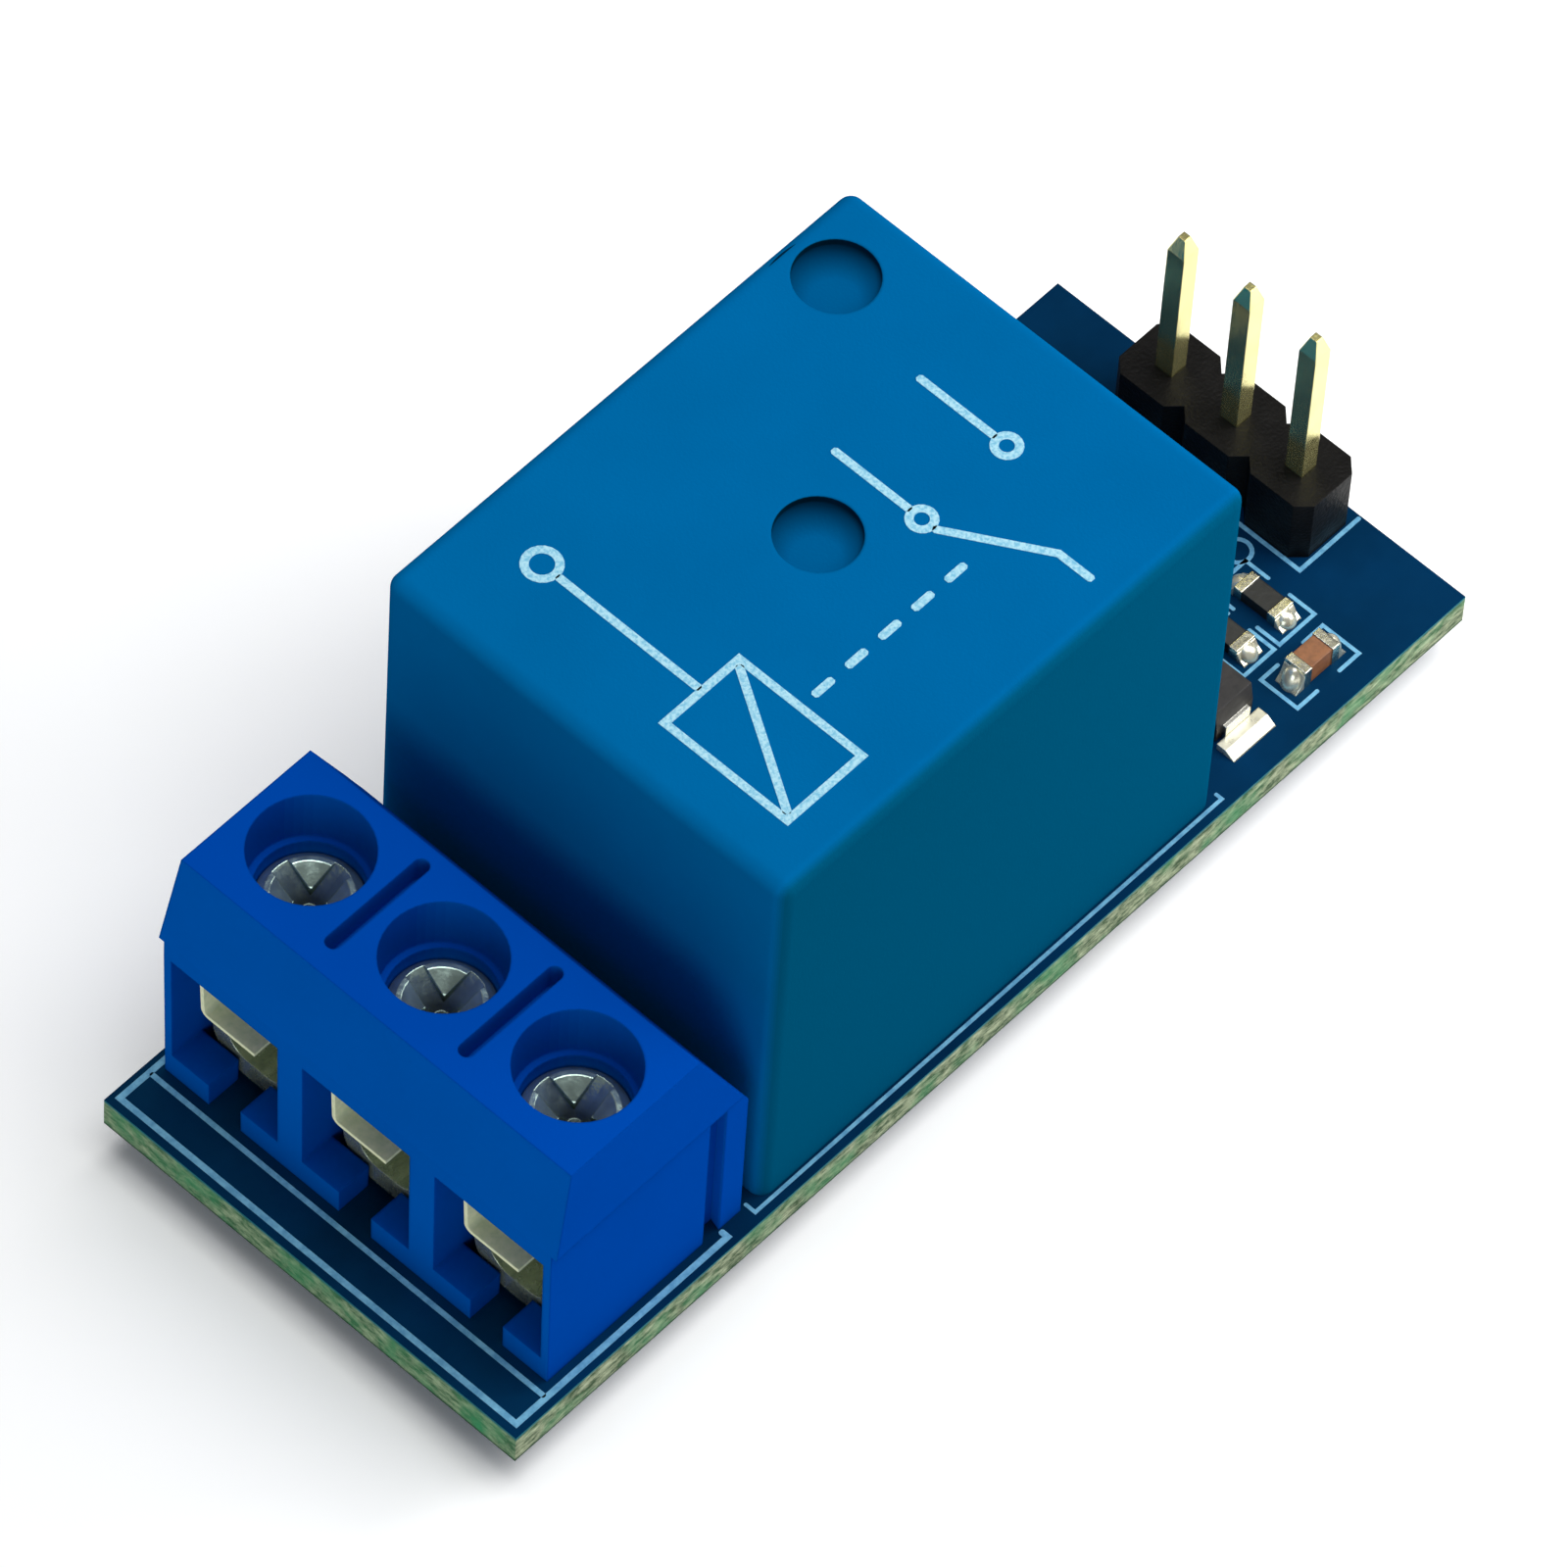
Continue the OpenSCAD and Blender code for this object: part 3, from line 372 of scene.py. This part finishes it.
# Painted reflection: the tongues' tin colour is raised near white and drawn without metal.
LIP_WITH_PAINTED_REFLECTION = metal("contact_tin_with_painted_reflection", (248, 255, 206), rough=0.5, vary=0.14, cloud=5200,
            bevel=SHEET_EDGE, share=0.0)
ZINC = metal("zinc_plate", (206, 216, 190), rough=0.24, vary=0.1, cloud=2200, share=0.75)
HEAD = head_material("screw_zinc", (190, 216, 206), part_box("terminal_screw_1")[1].z)
GOLD = metal("gold_plate", (252, 240, 164), rough=0.15, stretch=(4, 4, 0.3), share=0.9)
IRON = metal("magnet_iron", (150, 152, 154), rough=0.4, cloud=500)
BRONZE = metal("contact_bronze", (202, 150, 92), rough=0.32)
COPPER = metal("copper_wire", (190, 104, 56), rough=0.35, stretch=(0.4, 0.4, 8))
SOLDER = metal("solder", (238, 234, 210), rough=0.3, grain=0.0015 * MM, cloud=1400, share=0.72)
BOARD = board_material(board_box[0].z, board_box[1].z)
RESISTOR = chip_material("resistor_black", (26, 27, 24), RESISTOR_LENGTH, Y,
                         middle_of(resistor_box, Y))
CAPACITOR = chip_material("capacitor_brown", (138, 88, 52), CAPACITOR_LENGTH, X,
                          middle_of(capacitor_box, X))
DIODE = leaded_material("diode_black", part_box("diode"), Y, 0.49 * MM)
TRANSISTOR = leaded_material("transistor_black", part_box("transistor"), X, 0.54 * MM)
INK = ink_material("board_ink", (88, 152, 190), (118, 182, 214), patch=4000, full_at=0.65,
                   rough=0.6, grain=(6000, 3))
CASE_INK = ink_material("case_ink", (120, 190, 220), (176, 224, 240), patch=9000, full_at=0.6,
                        rough=0.5, grain=(8000, 2))

MATERIAL_OF = {
    "circuit_board": BOARD,
    "terminal_housing": BLUE_HOUSING,
    "relay_case": BLUE_CASE,
    "relay_base": BLACK,
    "relay_bobbin": CREAM,
    "relay_coil": COPPER,
    "relay_core": IRON,
    "relay_yoke": IRON,
    "relay_armature": IRON,
    "relay_moving_contact": BRONZE,
    "relay_open_contact": BRONZE,
    "relay_closed_contact": BRONZE,
    "header_body": HEADER,
    "resistor_1": RESISTOR,
    "resistor_2": RESISTOR,
    "capacitor": CAPACITOR,
    "diode": DIODE,
    "transistor": TRANSISTOR,
    "lead_solder": SOLDER,
    "chip_solder": SOLDER,
}
MATERIAL_OF_STEM = {
    "terminal_contact": TIN,
    "terminal_cage": ZINC,
    "terminal_screw": HEAD,
    "relay_common_lead": TIN,
    "relay_coil_lead": TIN,
    "header_pin": GOLD,
}
for stem, material in MATERIAL_OF_STEM.items():
    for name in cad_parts:
        if name.startswith(stem):
            MATERIAL_OF[name] = material
for name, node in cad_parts.items():
    node.data.materials.clear()
    node.data.materials.append(MATERIAL_OF[name])


# ---------- pieces made here ----------

def mesh_piece(name, bm, material, body="board"):
    mesh = bpy.data.meshes.new(name)
    bm.to_mesh(mesh)
    bm.free()
    o = bpy.data.objects.new(name, mesh)
    scene.collection.objects.link(o)
    mesh.materials.append(material)
    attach(o, body)
    return o


def arc(centre, radius, start, stop, steps):
    """Points on a circle, with the angles in degrees."""
    out = []
    for i in range(steps + 1):
        t = math.radians(start + (stop - start) * i / steps)
        out.append((centre[0] + radius * math.cos(t), centre[1] + radius * math.sin(t)))
    return out


# From here to the camera, plain lengths are in millimetres and those with MM in metres
board_top = board_box[1].z / MM
case_top = case_high.z / MM


# ---------- clamp contacts ----------

# The tongue is the thin front of the contact, and its tab is the side that is bent up
TONGUE_FRONT = -17.86
TONGUE_TOP = 4.06
TONGUE_Y = (-0.92, 1.02)
TAB_TOP = 5.5
TAB_LEAN = 0.06
SHEET = 0.14
BEND_R = 0.16
BEND_STEPS = 8
# The bar runs back from the tongue to the leg, which goes down to the pin
BAR_RISE = 3.4
BAR_T = 0.8
LEG_T = 0.7
PIN_HALF = 0.5
TONGUE_OVERLAP = 0.05
PIN_OVERLAP = 0.01


def prism(bm, profile, x0, x1):
    """Solid with the same outline, in y and z, from x0 to x1."""
    ends = [[bm.verts.new((x * MM, y * MM, z * MM)) for y, z in profile] for x in (x0, x1)]
    count = len(profile)
    for i in range(count):
        j = (i + 1) % count
        bm.faces.new((ends[0][i], ends[1][i], ends[1][j], ends[0][j]))
    bm.faces.new(ends[0])
    bm.faces.new(reversed(ends[1]))


def slab(bm, x0, x1, y0, y1, z0, z1):
    prism(bm, [(y0, z0), (y0, z1), (y1, z1), (y1, z0)], x0, x1)


def tongue_profile(y, z):
    """Thin tongue with its +Y side bent up, round inside and outside the bend."""
    low, high = TONGUE_Y
    centre = (y + high - BEND_R, z + TONGUE_TOP + BEND_R)
    inner = arc(centre, BEND_R, -90, 0, BEND_STEPS)
    outer = arc(centre, BEND_R + SHEET, 0, -90, BEND_STEPS)
    floor_edge = [(y + low, z + TONGUE_TOP - SHEET), (y + low, z + TONGUE_TOP)]
    tab_edge = [
        (y + high + TAB_LEAN, z + TAB_TOP),
        (y + high + TAB_LEAN + SHEET, z + TAB_TOP),
    ]
    return [*floor_edge, *inner, *tab_edge, *outer]


for way in (1, 2, 3):
    name = f"terminal_contact_{way}"
    low, high = (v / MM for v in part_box(name))
    y = (low.y + high.y) / 2
    bar_half = (high.y - low.y) / 2
    bar_front = low.x + BAR_T
    bar_bottom = board_top + BAR_RISE
    leg_front = high.x - LEG_T
    bm = bmesh.new()
    prism(bm, tongue_profile(y, board_top), TONGUE_FRONT, bar_front + TONGUE_OVERLAP)
    slab(bm, bar_front, high.x, y - bar_half, y + bar_half, bar_bottom, bar_bottom + BAR_T)
    slab(bm, leg_front, high.x, y - bar_half, y + bar_half, board_top, bar_bottom + BAR_T / 2)
    slab(bm, leg_front, high.x, y - PIN_HALF, y + PIN_HALF, low.z, board_top + PIN_OVERLAP)
    bmesh.ops.recalc_face_normals(bm, faces=bm.faces)
    contact = mesh_piece(f"clamp_contact_{way}", bm, LIP_WITH_PAINTED_REFLECTION)
    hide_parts(name)


# ---------- solder on the chip parts ----------

# A fillet's half length, and its height and half width as shares of the part's size
FILLET_REACH = 0.42 * MM
FILLET_HEIGHT = 0.9
FILLET_WIDTH = 0.47


def blob(bm, centre, radii):
    """Rounded solder fillet: a squashed ball that the board hides the lower half of."""
    ball = Matrix.Translation(Vector(centre)) @ Matrix.Diagonal((*radii, 1.0))
    bmesh.ops.create_uvsphere(bm, u_segments=28, v_segments=18, radius=1.0, matrix=ball)


bm = bmesh.new()
for name, along in (("resistor_1", Y), ("resistor_2", Y), ("capacitor", X)):
    low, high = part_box(name)
    across = 1 - along
    for end in (low[along], high[along]):
        centre = [(low[0] + high[0]) / 2, (low[1] + high[1]) / 2, low.z]
        centre[along] = end
        radii = [0.0, 0.0, (high.z - low.z) * FILLET_HEIGHT]
        radii[along] = FILLET_REACH
        radii[across] = (high[across] - low[across]) * FILLET_WIDTH
        blob(bm, centre, radii)
for face in bm.faces:
    face.smooth = True
fillets = mesh_piece("solder_fillets", bm, SOLDER)


# ---------- printed marks ----------

INK_T = 0.015
# An open line runs past its last points by a share of its width, and narrows to a share of it
END_REACH = 0.3
END_WIDTH = 0.55
# Keeps a sharp corner's mitre short
MITRE_LIMIT = 0.4
RING_SIDES = 20


def strip(bm, points, z, width, closed=False):
    """Flat printed line through the points, with mitred corners."""
    pts = [Vector(p) for p in points]
    if not closed:
        first = (pts[1] - pts[0]).normalized()
        last = (pts[-1] - pts[-2]).normalized()
        start = pts[0] - first * width * END_REACH
        stop = pts[-1] + last * width * END_REACH
        pts = [start, *pts, stop]
    count = len(pts)
    rows = []
    for i, p in enumerate(pts):
        steps = []
        if closed or i > 0:
            steps.append((p - pts[i - 1]).normalized())
        if closed or i + 1 < count:
            steps.append((pts[(i + 1) % count] - p).normalized())
        normals = [Vector((-d.y, d.x)) for d in steps]
        side = sum(normals, Vector((0, 0))).normalized()
        half = width / 2 / max(side.dot(normals[0]), MITRE_LIMIT)
        if not closed and i in (0, count - 1):
            half *= END_WIDTH
        edges = [p + side * half, p - side * half]
        heights = (z + INK_T, z)
        rows.append([bm.verts.new((q.x * MM, q.y * MM, h * MM)) for h in heights for q in edges])
    pairs = list(zip(rows, rows[1:]))
    if closed:
        pairs.append((rows[-1], rows[0]))
    for (a, b, c, d), (e, f, g, h) in pairs:
        for face in ((a, b, f, e), (d, c, g, h), (c, a, e, g), (b, d, h, f)):
            bm.faces.new(face)
    if not closed:
        a, b, c, d = rows[0]
        bm.faces.new((b, a, c, d))
        a, b, c, d = rows[-1]
        bm.faces.new((a, b, d, c))


def ring(bm, centre, radius, z, width):
    """Printed ring, drawn with flat sides."""
    step = 360 / RING_SIDES
    strip(bm, arc(centre, radius, 0, 360 - step, RING_SIDES - 1), z, width, closed=True)


# Widths of the lines on the board
BOLD = 0.2
PLAIN = 0.17
MEDIUM = 0.14
THIN = 0.12
FINE = 0.125
# Places of the lines on the board. Those that the photo doesn't show are guesses
SIDE_LOW = -7.68
SIDE_HIGH = 7.72
TERMINAL_FRONT = -19.65
TERMINAL_BACK = -11.04
WIRE_LINE = -18.45
RELAY_FRONT = -9.9
RELAY_BACK = 9.75
HEADER_FRONT = 17.3
HEADER_HALF = 3.95
HEADER_END = 19.9
CHIP_LOW = -5.28
CHIP_HIGH = -2.6
CHIP_X = ((14.93, 16.45), (13.36, 14.7))
TRANSISTOR_X = (16.1, 13.2)
TRANSISTOR_Y = (0.9, 5.9)
RING_X = 16.55
RING_Y = (-2.2, 0.0, 2.2)
RING_R = 0.42

bm = bmesh.new()
z = board_top
terminal_outline = [
    (TERMINAL_BACK, -7.45),
    (TERMINAL_BACK, SIDE_LOW),
    (TERMINAL_FRONT, SIDE_LOW),
    (TERMINAL_FRONT, SIDE_HIGH),
    (TERMINAL_BACK, SIDE_HIGH),
]
relay_low_side = [
    (RELAY_FRONT, -7.3),
    (RELAY_FRONT, SIDE_LOW),
    (RELAY_BACK, SIDE_LOW),
    (RELAY_BACK, -7.45),
]
relay_high_side = [
    (RELAY_FRONT, 7.45),
    (RELAY_FRONT, SIDE_HIGH),
    (RELAY_BACK, SIDE_HIGH),
    (RELAY_BACK, 7.45),
]
header_outline = [
    (HEADER_END, -HEADER_HALF),
    (HEADER_FRONT, -HEADER_HALF),
    (HEADER_FRONT, HEADER_HALF),
    (HEADER_END, HEADER_HALF),
]
strip(bm, terminal_outline, z, BOLD)
strip(bm, [(WIRE_LINE, -7.59), (WIRE_LINE, 7.63)], z, PLAIN)
strip(bm, relay_low_side, z, THIN)
strip(bm, relay_high_side, z, THIN)
strip(bm, header_outline, z, MEDIUM)
for x0, x1 in CHIP_X:
    strip(bm, [(x1, -4.3), (x1, CHIP_LOW), (x0, CHIP_LOW), (x0, -4.4)], z, FINE)
    strip(bm, [(x1, -3.5), (x1, CHIP_HIGH), (x0, CHIP_HIGH), (x0, -3.5)], z, FINE)
strip(bm, [(15.45, -7.12), (16.32, -7.12), (16.32, -5.72), (15.45, -5.72)], z, FINE)
strip(bm, [(14.5, -7.14), (13.63, -7.14), (13.63, -5.72), (14.38, -5.72)], z, FINE)
for y in TRANSISTOR_Y:
    strip(bm, [(x, y) for x in TRANSISTOR_X], z, FINE)
for y in RING_Y:
    ring(bm, (RING_X, y), RING_R, z, MEDIUM)
mesh_piece("board_print", bm, INK)

# A generic wiring symbol: a coil with its lead, linked to a changeover contact
SYMBOL_LINE = 0.26
COIL_X = (-7.6, -4.6)
COIL_Y = (-5.9, -1.3)
COIL_INSET = 0.2
LEAD_X = -6.1
LINK_START = -4.0
LINK_STEP = 1.35
LINK_DASH = 0.65
LINK_Y = -3.6
CONTACTS_X = (2.4, 5.9)
CONTACT_RING_Y = -1.7
CONTACT_LINE_Y = (-1.2, 1.6)

bm = bmesh.new()
z = case_top
left, right = COIL_X
low, high = COIL_Y
coil_outline = [(left, low), (right, low), (right, high), (left, high)]
coil_slash = [(left + COIL_INSET, low + COIL_INSET), (right - COIL_INSET, high - COIL_INSET)]
strip(bm, coil_outline, z, SYMBOL_LINE, closed=True)
strip(bm, [(LEAD_X, -1.15), (LEAD_X, 4.1)], z, SYMBOL_LINE)
strip(bm, coil_slash, z, SYMBOL_LINE)
ring(bm, (LEAD_X, 4.75), 0.5, z, SYMBOL_LINE)
for k in range(5):
    x = LINK_START + LINK_STEP * k
    strip(bm, [(x, LINK_Y), (x + LINK_DASH, LINK_Y)], z, SYMBOL_LINE)
strip(bm, [(4.2, -6.4), (4.2, -5.2), (2.4, -2.2)], z, SYMBOL_LINE)
for x in CONTACTS_X:
    ring(bm, (x, CONTACT_RING_Y), 0.36, z, SYMBOL_LINE)
for x in CONTACTS_X:
    strip(bm, [(x, y) for y in CONTACT_LINE_Y], z, SYMBOL_LINE)
mesh_piece("case_print", bm, CASE_INK)


# ---------- camera ----------

# Angles in degrees, fitted to the photo. An azimuth of 0 looks along +Y
AZIMUTH = 50.615
ELEVATION = 55.763
ROLL = 4.241
DISTANCE = 408.739 * MM
TARGET = Vector((1.951, 2.158, 1.4)) * MM
LENS = 326.29
SENSOR = 36

azimuth = math.radians(AZIMUTH)
elevation = math.radians(ELEVATION)
roll = math.radians(ROLL)
forward = Vector((
    math.sin(azimuth) * math.cos(elevation),
    math.cos(azimuth) * math.cos(elevation),
    -math.sin(elevation),
))
level = forward.cross(Vector((0, 0, 1))).normalized()
above = level.cross(forward)
right = math.cos(roll) * level + math.sin(roll) * above
up = -math.sin(roll) * level + math.cos(roll) * above
camera = bpy.data.cameras.new("camera")
camera.sensor_width = SENSOR
camera.lens = LENS
camera.clip_start = 0.01
camera.clip_end = 10
camera_object = bpy.data.objects.new("camera", camera)
turn = Matrix((right, up, -forward)).transposed().to_4x4()
camera_object.matrix_world = Matrix.Translation(TARGET - DISTANCE * forward) @ turn
scene.collection.objects.link(camera_object)
scene.camera = camera_object


# ---------- floor ----------

FLOOR_REACH = 3

bm = bmesh.new()
bmesh.ops.create_grid(bm, x_segments=1, y_segments=1, size=FLOOR_REACH)
floor_mesh = bpy.data.meshes.new("floor")
bm.to_mesh(floor_mesh)
bm.free()
floor = bpy.data.objects.new("floor", floor_mesh)
scene.collection.objects.link(floor)
n = Nodes("floor_white")
rays = n.add("ShaderNodeLightPath")
seen = n.mix(n.patches(6, 2), grey(1.1), grey(1.14))
bounced = n.mix(n.patches(6, 2), grey(0.78), grey(0.82))
bounced = n.mix(rays.outputs["Is Glossy Ray"], bounced, grey(1.0))
floor_tone = n.mix(rays.outputs["Is Camera Ray"], bounced, seen)
FLOOR = n.surface(floor_tone, n.patches(40, 2, 0.88, 0.94), spec=0.0,
                  bump=(n.noise(900, 2), 0.004 * MM))
floor_mesh.materials.append(FLOOR)


# ---------- light ----------

def area(name, direction, distance, size, power, colour=(1, 1, 1)):
    """Square lamp that looks at the origin and hides from the camera."""
    d = Vector(direction).normalized()
    light = bpy.data.lights.new(name, "AREA")
    light.shape = "SQUARE"
    light.size = size
    light.energy = power
    light.color = colour
    o = bpy.data.objects.new(name, light)
    turned = d.to_track_quat("Z", "Y").to_matrix().to_4x4()
    o.matrix_world = Matrix.Translation(d * distance) @ turned
    o.visible_camera = False
    scene.collection.objects.link(o)


area("top", (0.15, -0.1, 1.0), distance=0.6, size=0.5, power=3.0)
area("key", (1.0, -0.8, 1.0), distance=0.6, size=0.35, power=0.35)
area("side", (0.75, -0.5, 0.5), distance=0.068, size=0.03, power=0.018)
area("left", (-0.85, -0.6, 0.3), distance=0.6, size=0.3, power=0.8, colour=(0.82, 0.95, 1.0))


def background(tree, strength):
    """White background shader for the world."""
    node = tree.nodes.new("ShaderNodeBackground")
    node.inputs["Color"].default_value = grey(1.0)
    node.inputs["Strength"].default_value = strength
    return node.outputs[0]


SOFT_LIGHT = 0.15
SEEN_WHITE = 1.0

world = bpy.data.worlds.new("studio")
scene.world = world
world.use_nodes = True
w = world.node_tree
w.nodes.clear()
out = w.nodes.new("ShaderNodeOutputWorld")
path = w.nodes.new("ShaderNodeLightPath")
mixer = w.nodes.new("ShaderNodeMixShader")
w.links.new(path.outputs["Is Camera Ray"], mixer.inputs[0])
w.links.new(background(w, SOFT_LIGHT), mixer.inputs[1])
w.links.new(background(w, SEEN_WHITE), mixer.inputs[2])
w.links.new(mixer.outputs[0], out.inputs[0])

scene.view_settings.view_transform = "Standard"
